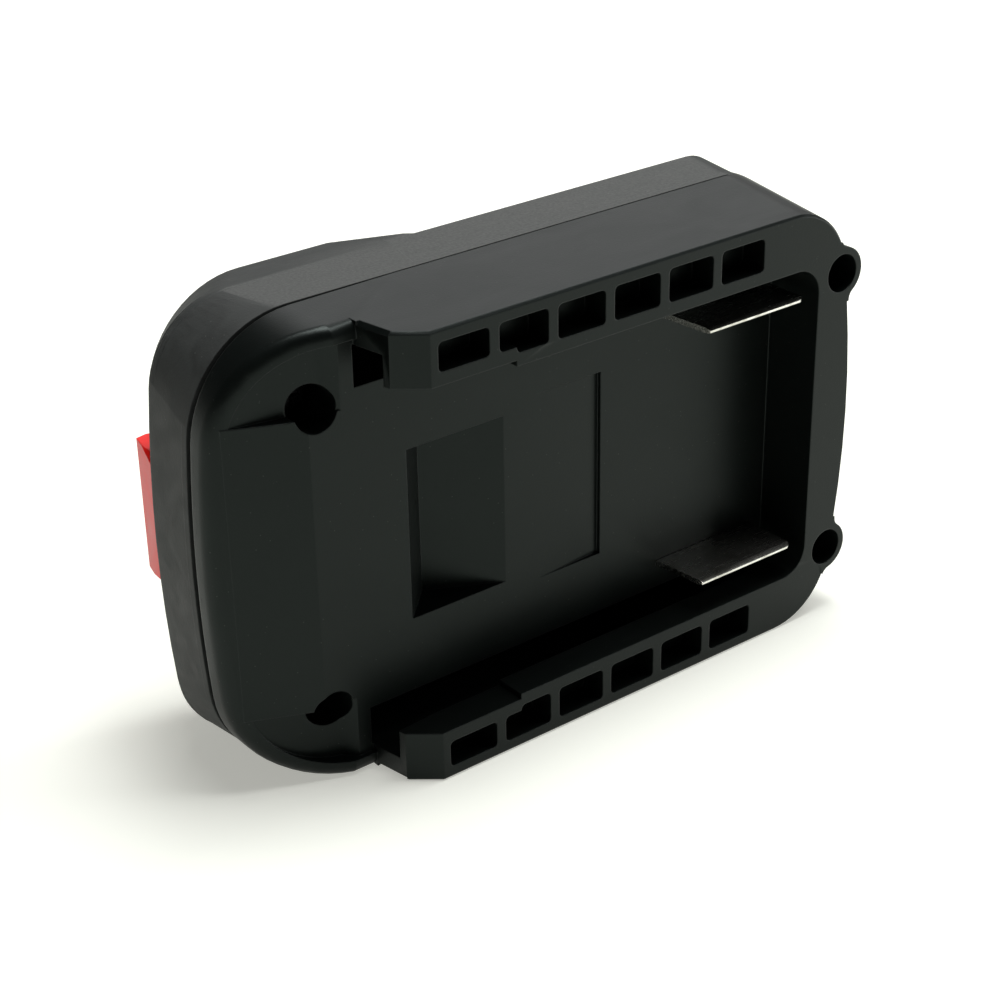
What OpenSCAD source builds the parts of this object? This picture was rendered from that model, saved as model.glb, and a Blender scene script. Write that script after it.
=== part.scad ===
// Slide-on battery adapter for a cordless tool.
// A battery slides into the channel between the two rails on the front, and the
// rail block on the back carries the tool. X runs along the rails from the latch
// end, Y runs from the rail fronts to the back, Z is up with the part on its edge.

/* [Shell outline] */
// Width across the rails
shell_w = 80; // [79:0.5:82]
// Radius of the two corners at the latch end, at the joint and at the back edge
latch_corner_r = [19.2, 15];
// How far the latch end leans in between the joint and the back edge
latch_lean = 0.5; // [0.3:0.1:0.8]
// Radius of the slightly bowed latch end
bow_r = 260; // [200:10:400]
// Length of the shell at the rail fronts, where the closed end is bowed
closed_front_x = 121.7; // [121.4:0.1:122]
// Radius of the closed end's bow at the rail fronts
closed_bow_r = 160; // [140:5:200]
// Radius of the two corners at the closed end, at the rail fronts, the joint and the back edge
closed_corner_r = [13, 11.5, 8.5];
// Depth of the joint between the two shells
joint_y = 23.3; // [23:0.1:23.4]
// Thickness of the moulded walls
wall = 2.4; // [2:0.1:2.6]
// Chamfer on the outer edge of the rails and the closed end
front_edge = 0.4; // [0.3:0.1:1]

/* [Battery channel] */
// Depth of the channel floor below the rail fronts
floor_y = 11.5; // [11:0.1:11.8]
// Start of the rails from the latch end
rail_x = 24.3; // [24:0.1:24.6]
// Tip of a rail's leaning end: its place along the rail and its depth below the rail fronts
rail_tip = [25.5, 3.9];
// Chamfer on the outer edge of a rail's leaning end
rail_tip_edge = 0.7; // [0.4:0.1:1]
// Thickness of a rail's outer wall
rail_wall = 4; // [3.5:0.1:4.4]
// Thickness of the flange that overhangs the battery
flange_t = 5.9; // [5.6:0.1:6.2]
// Half the opening between the flanges at the mouth
mouth_z = 30.8; // [30.2:0.1:31.2]
// Half the opening between the flanges past the step
throat_z = 29.8; // [29.2:0.1:30]
// Place of the step between mouth and throat
step_x = 46.6; // [46:0.1:48]
// Inner face of the closed end
closed_x = 112.7; // [112:0.1:113]
// Radius of the channel's inner corners
closed_r = 5.3; // [4:0.1:6]

/* [Rail pockets] */
// Pockets in each rail
pocket_n = 6; // [4:1:6]
// Distance from one pocket to the next
pocket_pitch = 11.55; // [11.3:0.05:11.7]
// Length of a pocket
pocket_l = 9.7; // [8.5:0.1:9.8]
// Start of the first pocket
pocket_x = 31.7; // [31.5:0.1:32.5]
// Depth of a pocket
pocket_deep = 5.1; // [3:0.1:5.2]
// Outer edge of the pockets from the middle
pocket_outer_z = 37.9; // [37:0.1:38.2]
// Web between a pocket and the flange's inner edge
pocket_web = 2.2; // [1.8:0.1:2.6]
// Corner radius of a pocket
pocket_r = 0.9; // [0.5:0.1:1.2]

/* [Latch end of the battery side] */
// Where the floor starts to fall back towards the latch end
crease_x = 15.4; // [15:0.1:16]
// How far the middle of the end falls back for each millimetre
end_slope = 0.45; // [0.4:0.01:0.48]
// Height of the raised rim above the floor
rim_h = 1; // [0.6:0.1:1.2]
// How far the rim falls back for each millimetre
rim_slope = 0.39; // [0.36:0.01:0.42]
// Radius of the rim's rounded edge
rim_r = 1.9; // [1:0.1:2]
// Width of the rim
rim_w = 2.8; // [2.4:0.1:3.2]
// Depth of a screw pad below the floor, next to the screw
pad_drop = 2.1; // [1.8:0.05:2.5]
// Edge of the screw pads from the middle
pad_z = 25.9; // [25:0.1:26.4]

/* [Battery hook recess] */
// Start, deepest line and end of the recess
recess_x = [33.2, 39.9, 52.6];
// Depth of the recess below the floor
recess_deep = 6.6; // [5:0.1:6.6]
// Half width of the recess
recess_z = 15.4; // [14:0.1:16]

/* [Screws] */
// Distance from the middle to the shell screws
screw_z = 26.9; // [26.7:0.05:27.2]
// Latch end screws from the latch end
screw_x = 17.2; // [17:0.1:17.4]
// Ear screws from the latch end
ear_x = 118.2; // [118:0.1:118.4]
// Radius of a screw ear
ear_r = 4.7; // [4.6:0.05:5.2]
// Radius of the fillets beside an ear
ear_fillet = 2; // [1:0.1:3]
// Radius of the counterbores at the latch end
pad_bore_r = 3.7; // [3.6:0.1:4.2]
// Radius of the counterbores in the ears
ear_bore_r = 3.45; // [3.3:0.05:3.6]
// Depth of the seat under a screw head
seat_y = 21; // [20.5:0.1:21.2]

/* [Blades] */
// Distance from the middle to each battery blade
blade_z = 24; // [23.8:0.1:24.2]
// Thickness of a blade
blade_t = 1; // [0.8:0.05:1]
// Start and end of a blade along the channel
blade_x = [86.8, 109.8];
// Distance from the rail fronts to the blade's edge
blade_y = 0.6; // [0.4:0.1:1.5]

/* [Tool side] */
// Back face of the shoulder
shoulder_y = 36.5; // [36.3:0.1:36.6]
// Crease round the foot of the raised latch end
crease_y = 35.1; // [34.8:0.1:35.5]
// Back face of the raised latch end
raised_y = 45; // [44.5:0.1:45.5]
// Foot and top of the ramp from the raised end to the shoulder
ramp_x = [55, 42.3];
// How far the raised end leans in at the latch end
raised_lean = 6; // [5.5:0.1:6.5]
// How far the raised end leans in at its sides
raised_side = 1.85; // [1.2:0.05:2.4]
// Radius of the raised end's two corners at its back face
raised_corner_r = 18; // [17:0.2:19]
// Start and end of the rail block
block_x = [55.2, 114];
// Half width of the rail block at its neck and at its flange
block_z = [23.5, 28.5];
// Underside of the block's flange and the block's back face
block_y = [42.5, 48];
// Distance from the middle to each tool contact
contact_z = 10; // [9.5:0.1:10.5]

/* [Latch] */
// Travel of the release button
travel = 4; // [3:0.1:4]
// Half width of the release button
button_z = 12; // [11:0.1:12.2]
// Start and end of the hook along the block
hook_x = [60, 68];
// Back end of the hook
hook_y = 51.5; // [51:0.1:52]
// Mean radius of a latch spring
spring_r = 2.4; // [2.3:0.1:2.6]
// Wire diameter of a latch spring
spring_wire = 0.7; // [0.6:0.05:0.8]
// Curls in a latch spring
spring_curls = 5; // [4:1:5]

/* [Hidden] */

$fn = 48;
half_w = shell_w / 2;
mid_x = (ear_x + ear_r) / 2;
mid_y = hook_y / 2;
corner_steps = 14;
bow_steps = 8;
past = 1;
slip = 0.05;
run_gap = 0.4;

front_black = "#2b2d2d";
back_black = "#333434";
red = "#d8302c";
nickel = "#c9cac6";
bronze = "#b58a52";
steel = "#a9abae";
nylon = "#3c3e40";

// Levels of the outline: half width, latch end and its corner radius, closed end, its corner radius and its bow
closed_back_x = ear_x + ear_r;
flat = 0;
front_level = [half_w, 0, latch_corner_r[0], closed_front_x, closed_corner_r[0], closed_bow_r];
joint_level = [half_w, 0, latch_corner_r[0], closed_back_x, closed_corner_r[1], flat];
back_level = [half_w, latch_lean, latch_corner_r[1], closed_back_x, closed_corner_r[2], flat];
raised_level = [half_w - raised_side, raised_lean, raised_corner_r, closed_back_x, closed_corner_r[2], flat];

function on_circle(c, r, a) = c + r * [cos(a), sin(a)];
function arc(c, r, a, b, n) = [for (i = [0:n]) on_circle(c, r, a + (b - a) * i / n)];
function inner_arc(c, r, a, b, n) = [for (i = [1:n - 1]) on_circle(c, r, a + (b - a) * i / n)];
function mirrored(p) = [for (i = [len(p) - 1:-1:0]) [p[i].x, -p[i].y]];

// Corner of radius r that touches a side and a bowed end: its centre from the end, and its turn off the bow
function corner_run(rise, r, bow) = bow == flat ? r : bow - sqrt(pow(bow - r, 2) - pow(rise, 2));
function corner_turn(rise, r, bow) = bow == flat ? 0 : asin(rise / (bow - r));
function latch_turn(v) = corner_turn(v[0] - v[2], v[2], bow_r);
function closed_turn(v) = corner_turn(v[0] - v[4], v[4], v[5]);
function latch_centre(v) = [v[1] + corner_run(v[0] - v[2], v[2], bow_r), v[0] - v[2]];
function closed_centre(v) = [v[3] - corner_run(v[0] - v[4], v[4], v[5]), v[0] - v[4]];

// Outline of the shells in X and Z at a level, drawn in by inset
function upper_outline(v, inset) = concat(
    arc(closed_centre(v), v[4] - inset, closed_turn(v), 90, corner_steps),
    arc(latch_centre(v), v[2] - inset, 90, 180 - latch_turn(v), corner_steps));
function outline(v, inset = 0) = concat(
    upper_outline(v, inset),
    inner_arc([v[1] + bow_r, 0], bow_r - inset, 180 - latch_turn(v), 180 + latch_turn(v), bow_steps),
    mirrored(upper_outline(v, inset)),
    v[5] == flat ? [] : inner_arc([v[3] - v[5], 0], v[5] - inset, -closed_turn(v), closed_turn(v), bow_steps));

// Extrusions along each axis of outlines drawn in the other two
module along_x(a, b) {
    translate([a, 0, 0]) rotate([90, 0, 90]) linear_extrude(b - a) children();
}
module along_y(a, b) {
    translate([0, b, 0]) rotate([90, 0, 0]) linear_extrude(b - a) children();
}
module along_z(a, b) {
    translate([0, 0, a]) linear_extrude(b - a) children();
}
module box(low, high) {
    translate(low) cube(high - low);
}
module rod_y(x, z, a, b, r) {
    translate([x, a, z]) rotate([-90, 0, 0]) cylinder(h = b - a, r = r);
}
module both_sides() {
    children();
    mirror([0, 0, 1]) children();
}
module on_side(side) {
    if (side > 0) children();
    else mirror([0, 0, 1]) children();
}
// Sets a piece from the rail fronts and the middle plane into the part's own frame
module place() {
    translate([-mid_x, -mid_y, half_w]) children();
}
module round_rect(low, high, r) {
    translate([low.x + r, low.y]) square([high.x - low.x - 2 * r, high.y - low.y]);
    translate([low.x, low.y + r]) square([high.x - low.x, high.y - low.y - 2 * r]);
    for (x = [low.x + r, high.x - r], y = [low.y + r, high.y - r]) translate([x, y]) circle(r);
}
// Part of a level's outline on the latch end's side of x
module outline_up_to(x, level, inset = 0) {
    intersection() {
        polygon(outline(level, inset));
        translate([-past, -half_w]) square([x + past, shell_w]);
    }
}
// Thin slice of a level's outline, its back face at y
module slice(y, level, inset = 0) {
    along_y(y - slip, y) polygon(outline(level, inset));
}

// Point at two distances from two centres, on one side of the line between them
function meet(c0, r0, c1, r1, side) = let (d = norm(c1 - c0), u = (c1 - c0) / d,
    a = (d * d + r0 * r0 - r1 * r1) / (2 * d), h = sqrt(r0 * r0 - a * a)) c0 + a * u + side * h * [-u.y, u.x];

// Ear round a closed end screw, with a fillet to the bowed end and one to the corner
ear_centre = [ear_x, screw_z];
ear_root = 3;
module ear_fillet_plan(centre, r, side) {
    middle = meet(ear_centre, ear_r + ear_fillet, centre, r + ear_fillet, side);
    root = middle + (centre - middle) * (ear_fillet + ear_root) / (r + ear_fillet);
    difference() {
        polygon([ear_centre, middle, root]);
        translate(middle) circle(ear_fillet);
    }
}
module ear_plan() {
    translate(ear_centre) circle(ear_r);
    ear_fillet_plan([closed_front_x - closed_bow_r, 0], closed_bow_r, 1);
    ear_fillet_plan(closed_centre(front_level), closed_corner_r[0], -1);
}

// Battery side shell

rim_steps = 3;
rim_y = floor_y - rim_h;
rim_crease_x = 20;
pad_top_x = 21.4;
pad_foot_x = 19.2;
pad_end_x = 3.3;
undercut_z = half_w - rail_wall;
undercut_x = 106;
slot_x = 24;
slot_z = 28.9;
lead_in_x = 30.3;
under_lead = [33, 5.2];
cavity_x = [22, 111];
cavity_z = 26;
cavity_y = 14;
recess_wall = 1.9;
step_recess_x = [59.6, 73.4];
step_recess_z = 17.3;
step_recess_deep = 0.8;
shank_clear_r = 1.7;
joint_gap = [1.3, 0.35];
joint_gap_x = 40;
joint_gap_end_x = 112.4;
joint_gap_in = 0.8;

// Front of the middle of the latch end at x
function end_y(x) = floor_y + end_slope * max(0, crease_x - x);
// Front of the rim at x
function rim_front(x) = rim_y + rim_slope * max(0, rim_crease_x - x);
// Room behind the rim, by how far its rounded edge has come in
function behind_rim(h) = [[-past, rim_front(-past) + h], [rim_crease_x, rim_y + h],
    [closed_back_x, rim_y + h], [closed_back_x, joint_y], [-past, joint_y]];

module plate_body() {
    hull() for (i = [0:rim_steps]) intersection() {
        along_y(rim_y, joint_y) polygon(outline(front_level, rim_r * (1 - cos(90 * i / rim_steps))));
        along_z(-half_w, half_w) polygon(behind_rim(rim_r * (1 - sin(90 * i / rim_steps))));
    }
}

module rail_plan() {
    intersection() {
        polygon(outline(joint_level));
        translate([rail_x, -half_w]) square([closed_back_x, shell_w]);
    }
}

module channel_plan() {
    edge = concat(
        arc([closed_x - closed_r, throat_z - closed_r], closed_r, 0, 90, corner_steps),
        [[step_x, throat_z], [step_x, mouth_z], [rail_x - past, mouth_z]]);
    polygon(concat(edge, mirrored(edge)));
}

module undercut_plan() {
    translate([rail_x - past, -undercut_z]) square([undercut_x - rail_x + past, 2 * undercut_z]);
}

// Outer walls, flanges and closed end, which leans out to the joint, with the outer front edge chamfered
module frame_wall() {
    intersection() {
        union() {
            along_y(0, flange_t) difference() {
                rail_plan();
                channel_plan();
            }
            along_y(flange_t, joint_y) difference() {
                rail_plan();
                channel_plan();
                undercut_plan();
            }
        }
        hull() {
            slice(slip, front_level, front_edge);
            slice(front_edge + slip, front_level);
            slice(joint_y, joint_level);
        }
    }
}

// Chamfer along the outer edge of a rail between two points
module rail_edge_chamfer(from, to, size) {
    way = to - from;
    side = size * sqrt(2);
    translate([from.x, from.y, half_w]) rotate([0, 0, atan2(way.y, way.x)]) rotate([45, 0, 0])
        translate([0, -side / 2, -side / 2]) cube([norm(way), side, side]);
}

// Leaning end of the rails, and lead-ins on the front and the underside of their flanges
module rail_lead_ins() {
    rail_foot = [rail_x, rim_y];
    rail_start = [lead_in_x, 0];
    along_z(-half_w - past, half_w + past) polygon([[rail_x - past, -past], [lead_in_x, -past], rail_start,
        rail_tip, rail_foot, [rail_x - past, rim_y]]);
    along_z(-undercut_z, undercut_z) polygon([[rail_x - past, under_lead.y], [rail_x, under_lead.y],
        [under_lead.x, flange_t], [rail_x - past, flange_t]]);
    both_sides() {
        rail_edge_chamfer(rail_foot, rail_tip, rail_tip_edge);
        rail_edge_chamfer(rail_tip, rail_start, front_edge);
    }
}

function pocket_inner_z(x) = (x < step_x ? mouth_z : throat_z) + pocket_web;

// One pocket; its inner edge follows the step between mouth and throat
module pocket(x) {
    end = x + pocket_l;
    along_y(-past, pocket_deep) {
        round_rect([x, pocket_inner_z(x)], [end, pocket_outer_z], pocket_r);
        if (x < step_x && end > step_x)
            round_rect([step_x, pocket_inner_z(end)], [end, pocket_outer_z], pocket_r);
    }
}

// Channel floor, sunk inside the rim
module face_cut() {
    along_y(0, floor_y) {
        outline_up_to(rail_x + past, front_level, rim_w);
        channel_plan();
    }
}

// Sloped panel between the screw pads
module end_panel() {
    along_z(-pad_z, pad_z) polygon([[rail_x, floor_y], [crease_x, floor_y], [pad_end_x, end_y(pad_end_x)],
        [pad_end_x, joint_y - past], [rail_x, joint_y - past]]);
}

// Sunk pad round a latch end screw, deepest at the screw and fading to the latch end
module screw_pad() {
    intersection() {
        along_z(pad_z, half_w) polygon([[pad_top_x, 0], [pad_top_x, floor_y], [pad_foot_x, floor_y + pad_drop],
            [pad_end_x, end_y(pad_end_x)], [pad_end_x, 0]]);
        along_y(0, joint_y) polygon(outline(front_level, rim_w));
    }
}

// Shadow line along the joint, opening out towards the latch end
module joint_line() {
    intersection() {
        along_z(-half_w - past, half_w + past) polygon([[-past, joint_y - joint_gap[0]],
            [joint_gap_x, joint_y - joint_gap[1]], [joint_gap_end_x, joint_y - joint_gap[1]],
            [joint_gap_end_x, joint_y + past], [-past, joint_y + past]]);
        along_y(floor_y, joint_y + past) difference() {
            polygon(outline(joint_level, -past));
            polygon(outline(joint_level, joint_gap_in));
        }
    }
}

// Wedge that takes the battery's hook: a steep wall to the deepest line, then a long ramp
module hook_recess(grow = 0) {
    steep = (recess_x[1] - recess_x[0]) / recess_deep;
    ramp = (recess_x[2] - recess_x[1]) / recess_deep;
    along_z(-recess_z - grow, recess_z + grow) polygon([[recess_x[0] - steep * past - grow, floor_y - past],
        [recess_x[1], floor_y + recess_deep + grow], [recess_x[2] + ramp * past + grow, floor_y - past]]);
}

module step_recess() {
    along_z(-step_recess_z, step_recess_z) polygon([[step_recess_x[0], floor_y],
        [step_recess_x[1], floor_y + step_recess_deep], [step_recess_x[1], floor_y - past],
        [step_recess_x[0], floor_y - past]]);
}

// Room behind the floor, round the hook recess, the spring posts and the carrier bosses
module front_cavity() {
    difference() {
        box([cavity_x[0], cavity_y, -cavity_z], [cavity_x[1], joint_y + past, cavity_z]);
        hook_recess(recess_wall);
        both_sides() {
            rod_y(spring_x, spring_z, cavity_y - past, spring_seat_y, spring_seat_r);
            rod_y(spring_x, spring_z, cavity_y - past, spring_seat_y + spring_post_h, spring_post_r);
            rod_y(carrier_screw_x, carrier_screw_z, cavity_y - past, carrier_y, carrier_boss_r);
        }
    }
}

module battery_side_shell() {
    color(front_black) place() difference() {
        union() {
            difference() {
                plate_body();
                face_cut();
            }
            end_panel();
            frame_wall();
            both_sides() along_y(0, joint_y) ear_plan();
        }
        rail_lead_ins();
        joint_line();
        both_sides() {
            for (i = [0:pocket_n - 1]) pocket(pocket_x + i * pocket_pitch);
            box([slot_x, flange_t, slot_z], [undercut_x, joint_y + past, undercut_z]);
            screw_pad();
            rod_y(screw_x, screw_z, 0, seat_y, pad_bore_r);
            rod_y(ear_x, screw_z, -past, seat_y, ear_bore_r);
            for (x = [screw_x, ear_x]) rod_y(x, screw_z, seat_y - past, joint_y + past, shank_clear_r);
            box([blade_x[0] - 2 * slip, floor_y - past, blade_z - blade_t / 2 - slip],
                [blade_x[1] + 2 * slip, cavity_y + past, blade_z + blade_t / 2 + slip]);
        }
        hook_recess();
        step_recess();
        front_cavity();
        both_sides() rod_y(carrier_screw_x, carrier_screw_z, carrier_pilot_y, carrier_y + past, small_pilot_r);
    }
}

// Tool side shell

lip = 1.5;
lip_step = 0.4;
lip_x = [45, 49.8];
edge_drop = 0.35;
boss_r = 4;
boss_end_y = 34;
ear_end_y = 34.6;
pilot_r = 1.5;
small_pilot_r = 1.1;
deck_y = shoulder_y - wall;
deck_open_x = [58.5, 111];
deck_open_z = 14.6;
raised_cavity_x = [13, 38];
raised_cavity_z = [15.5, 33.5];
button_gap = 0.35;
window_x = [2.6, 19.4];
block_screw_x = [61.8, 107.4];
block_screw_z = 18;

// Latch end part of the shell, up to the slanted end of the lip
module latch_part() {
    along_z(-half_w - past, half_w + past) polygon([[-past, joint_y], [lip_x[0], joint_y],
        [lip_x[1], raised_y], [-past, raised_y]]);
}

module skirt() {
    along_y(joint_y, joint_y + lip) polygon(outline(joint_level));
    intersection() {
        hull() {
            slice(joint_y + slip, joint_level);
            slice(crease_y, back_level);
        }
        latch_part();
    }
    hull() {
        slice(joint_y + slip, joint_level, lip_step);
        slice(shoulder_y - edge_drop, back_level, lip_step);
        slice(shoulder_y, back_level, lip_step + edge_drop);
    }
}

module raised_end() {
    intersection() {
        hull() {
            along_y(deck_y, crease_y) outline_up_to(ramp_x[0], back_level);
            along_y(deck_y, raised_y) outline_up_to(ramp_x[1], raised_level);
        }
        union() {
            latch_part();
            along_y(deck_y, raised_y) polygon(outline(back_level, lip_step));
        }
    }
}

module tool_side_shell() {
    color(back_black) place() difference() {
        union() {
            difference() {
                union() {
                    skirt();
                    raised_end();
                }
                along_y(joint_y - past, deck_y) polygon(outline(joint_level, wall));
                both_sides() box([raised_cavity_x[0], joint_y, raised_cavity_z[0]],
                    [raised_cavity_x[1], raised_y - wall, raised_cavity_z[1]]);
            }
            both_sides() {
                rod_y(screw_x, screw_z, joint_y, raised_y - wall / 2, boss_r);
                intersection() {
                    rod_y(ear_x, screw_z, joint_y, ear_end_y, ear_r);
                    along_y(joint_y, ear_end_y) polygon(outline(joint_level, wall / 2));
                }
            }
        }
        both_sides() {
            for (x = [screw_x, ear_x]) rod_y(x, screw_z, joint_y - past, boss_end_y, pilot_r);
            for (x = block_screw_x) rod_y(x, block_screw_z, joint_y, shoulder_y + past, shank_clear_r);
        }
        box([window_x[0], joint_y, -button_z - button_gap],
            [window_x[1], raised_y + past, button_z + button_gap]);
        box([deck_open_x[0], joint_y, -deck_open_z], [deck_open_x[1], shoulder_y + past, deck_open_z]);
    }
}

// Rail block that carries the tool

block_wall = 2.5;
neck_r = 1;
block_r = 3.5;
block_boss_r = 3.2;
block_pilot = 7;
contact_boss_r = 2.8;
contact_pilot = 6;
slot_start_x = 93;
slot_w = 3.4;
slot_floor_y = 38;
hook_z = 7.6;

module block_plan(half, r) {
    round_rect([block_x[0], -half], [block_x[1], half], r);
}

module tool_rail_block() {
    inner_z = block_z[0] - block_wall;
    color(back_black) place() difference() {
        union() {
            along_y(shoulder_y, block_y[0]) block_plan(block_z[0], neck_r);
            along_y(block_y[0], block_y[1]) block_plan(block_z[1], block_r);
        }
        difference() {
            box([block_x[0] + block_wall, shoulder_y - past, -inner_z],
                [block_x[1] - block_wall, block_y[1] - block_wall, inner_z]);
            both_sides() for (x = block_screw_x)
                rod_y(x, block_screw_z, shoulder_y, block_y[1], block_boss_r);
            for (x = contact_screw_x) rod_y(x, 0, contact_base_y, block_y[1], contact_boss_r);
        }
        both_sides() {
            for (x = block_screw_x)
                rod_y(x, block_screw_z, shoulder_y - past, shoulder_y + block_pilot, pilot_r);
            box([slot_start_x, slot_floor_y, contact_z - slot_w / 2],
                [block_x[1] + past, block_y[1] + past, contact_z + slot_w / 2]);
        }
        for (x = contact_screw_x)
            rod_y(x, 0, contact_base_y - past, contact_base_y + contact_pilot, small_pilot_r);
        box([hook_x[0] - run_gap, block_y[0], -hook_z - run_gap],
            [hook_x[1] + run_gap, block_y[1] + past, hook_z + run_gap]);
    }
}

// Release button and hook, which move together

bar_y = [joint_y + 0.3 + travel, joint_y + 3.3 + travel];
flange_y = deck_y - 0.3;
flange_x = 22;
flange_z = 15;
button_x = 3.2;
button_knee_y = 38.2;
button_top = [5.9, 49.2];
button_crown = [7.9, 49.6];
button_back = [19, 46.6];
button_corner = 2;
grip_n = 3;
grip_r = 0.7;
peg_r = 1.5;
peg_h = 2;
peg_x = 12;
peg_z = 6;
bar_z = 8;
hook_tip = 2;

module release_button() {
    crown_fall = (button_back - button_crown) / (grip_n + 1);
    color(red) place() difference() {
        union() {
            box([button_x, bar_y[1], -flange_z], [flange_x, flange_y, flange_z]);
            intersection() {
                along_z(-button_z, button_z) polygon([[button_x, bar_y[1]], [button_x, button_knee_y],
                    button_top, button_crown, button_back, [button_back.x, bar_y[1]]]);
                along_y(bar_y[1], hook_y) polygon([[button_x, -button_z + button_corner],
                    [button_x + button_corner, -button_z], [flange_x, -button_z], [flange_x, button_z],
                    [button_x + button_corner, button_z], [button_x, button_z - button_corner]]);
            }
        }
        for (i = [1:grip_n]) along_z(-button_z, button_z)
            translate(button_crown + i * crown_fall) circle(grip_r);
        both_sides() rod_y(peg_x, peg_z, bar_y[1] - past, bar_y[1] + peg_h + slip, peg_r + slip);
    }
}

module latch_hook() {
    color(nylon) place() {
        box([button_x + button_corner, bar_y[0], -bar_z], [hook_x[1], bar_y[1], bar_z]);
        along_z(-hook_z, hook_z) polygon([[hook_x[0], bar_y[0]], [hook_x[0], hook_y],
            [hook_x[0] + hook_tip, hook_y], [hook_x[1], block_y[1] - run_gap], [hook_x[1], bar_y[0]]]);
        both_sides() rod_y(peg_x, peg_z, bar_y[0], bar_y[1] + peg_h, peg_r);
    }
}

// Latch springs, one unbroken helical wire each

spring_x = 27;
spring_z = 5;
spring_seat_y = 17;
spring_seat_r = 3.8;
spring_post_r = 1.8;
spring_post_h = 3;
spring_gap = 0.02;
ring_sides = 6;
rings_per_curl = 8;
spring_rings = spring_curls * rings_per_curl;
spring_rise = bar_y[0] - spring_seat_y - spring_wire - 2 * spring_gap;
function coil_point(i) = let (a = 360 * i / rings_per_curl)
    [spring_r * cos(a), spring_r * sin(a), spring_wire / 2 + spring_gap + spring_rise * i / spring_rings];
function coil_ring(i) = let (a = 360 * i / rings_per_curl) [for (k = [0:ring_sides - 1])
    let (b = 360 * k / ring_sides)
    coil_point(i) + spring_wire / 2 * [cos(a) * cos(b), sin(a) * cos(b), sin(b)]];
curl_gap = min([for (i = [0:spring_rings - rings_per_curl])
    norm(coil_point(i + rings_per_curl) - coil_point(i))]) - spring_wire;
echo(least_gap_between_curls = curl_gap);

// Closed tube through rings of points that all have the same count
module skin(rings) {
    n = len(rings[0]);
    last = len(rings) - 1;
    sides = [for (i = [0:last - 1], k = [0:n - 1]) each [
        [i * n + k, (i + 1) * n + k, i * n + (k + 1) % n],
        [i * n + (k + 1) % n, (i + 1) * n + k, (i + 1) * n + (k + 1) % n]]];
    start_cap = [for (k = [1:n - 2]) [0, k, k + 1]];
    end_cap = [for (k = [1:n - 2]) [last * n, last * n + k + 1, last * n + k]];
    polyhedron([for (ring = rings) each ring], concat(sides, start_cap, end_cap));
}

module latch_spring(side) {
    color(steel) place() translate([spring_x, spring_seat_y, side * spring_z]) rotate([-90, 0, 0])
        skin([for (i = [0:spring_rings]) coil_ring(i)]);
}

// Battery blades and the carrier behind the floor

blade_r = 1.2;
blade_lead = 1.1;
blade_bevel = 0.9;
blade_edge = 0.4;
blade_shoulder = [1.2, 0.8];
blade_shoulder_y = 15.2;
tail_x = [95, 101];
tail_y = 21;
tail_hole = [99.4, 19];
tail_hole_r = 1.2;
carrier_x = [84.6, 110.8];
carrier_y = 17.4;
carrier_half_z = 25.7;
carrier_window_x = 5;
carrier_window_z = 4;
carrier_screw_x = 98;
carrier_screw_z = 9;
carrier_boss_r = 2.6;
carrier_pilot_y = 12.6;

module blade_plan() {
    difference() {
        round_rect([blade_x[0], blade_y], [blade_x[1], cavity_y], blade_r);
        polygon([[blade_x[0], floor_y], [blade_x[0] + blade_lead, blade_y], [blade_x[0], blade_y - past],
            [blade_x[0] - past, blade_y - past], [blade_x[0] - past, floor_y]]);
    }
    translate([blade_x[0], cavity_y - 2 * blade_r]) square([blade_x[1] - blade_x[0], 2 * blade_r + slip]);
    translate([blade_x[0] - blade_shoulder[0], cavity_y])
        square([blade_x[1] - blade_x[0] + blade_shoulder[0] + blade_shoulder[1], blade_shoulder_y - cavity_y]);
    difference() {
        translate([tail_x[0], cavity_y]) square([tail_x[1] - tail_x[0], tail_y - cavity_y]);
        translate(tail_hole) circle(tail_hole_r);
    }
}

module blade(side) {
    half = blade_t / 2;
    color(nickel) place() translate([0, 0, side * blade_z]) intersection() {
        along_z(-half, half) blade_plan();
        along_x(blade_x[0] - blade_shoulder[0] - past, blade_x[1] + blade_shoulder[1] + past)
            polygon([[blade_y, -blade_edge / 2], [blade_y + blade_bevel, -half], [tail_y, -half],
                [tail_y, half], [blade_y + blade_bevel, half], [blade_y, blade_edge / 2]]);
    }
}

module blade_carrier() {
    slot_half = blade_t / 2 + slip;
    color(nylon) place() difference() {
        box([carrier_x[0], cavity_y, -carrier_half_z], [carrier_x[1], carrier_y, carrier_half_z]);
        box([carrier_x[0] + carrier_window_x, cavity_y - past, -carrier_window_z],
            [carrier_x[1] - carrier_window_x, carrier_y + past, carrier_window_z]);
        both_sides() {
            box([blade_x[0] - blade_shoulder[0] - slip, cavity_y - past, blade_z - slot_half],
                [blade_x[1] + blade_shoulder[1] + slip, blade_shoulder_y, blade_z + slot_half]);
            box([tail_x[0] - slip, cavity_y, blade_z - slot_half],
                [tail_x[1] + slip, carrier_y + past, blade_z + slot_half]);
            rod_y(carrier_screw_x, carrier_screw_z, cavity_y - past, carrier_y + past, carrier_boss_r + slip);
        }
    }
}

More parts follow.
